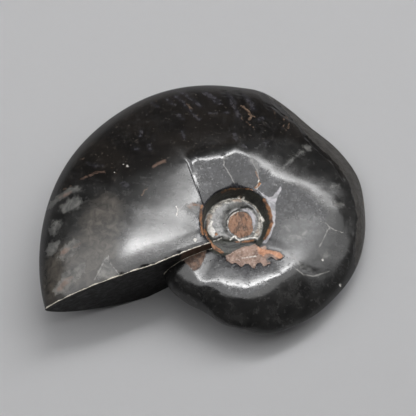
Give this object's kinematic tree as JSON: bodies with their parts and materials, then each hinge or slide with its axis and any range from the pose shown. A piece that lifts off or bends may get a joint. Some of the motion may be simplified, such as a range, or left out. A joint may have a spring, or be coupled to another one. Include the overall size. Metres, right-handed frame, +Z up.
{
  "type": "ammonite fossil",
  "caption": "Polished black ammonite, a coiled fossil shell with a broken end and a small open umbilicus, lying on its flank.",
  "frame": {"origin": "on the surface that the fossil rests on, under the middle of its bounding box", "axes": "+X to the right as the fossil is seen with its broken end at the lower left, +Y away from the viewer, +Z up, square to the surface"},
  "size_m": [0.0712, 0.058, 0.0208],
  "materials": {
    "ammonite": "polished black stone with white calcite and rust-brown patches"
  },
  "bodies": {
    "root": {"ammonite": "ammonite"}
  },
  "joints": []
}
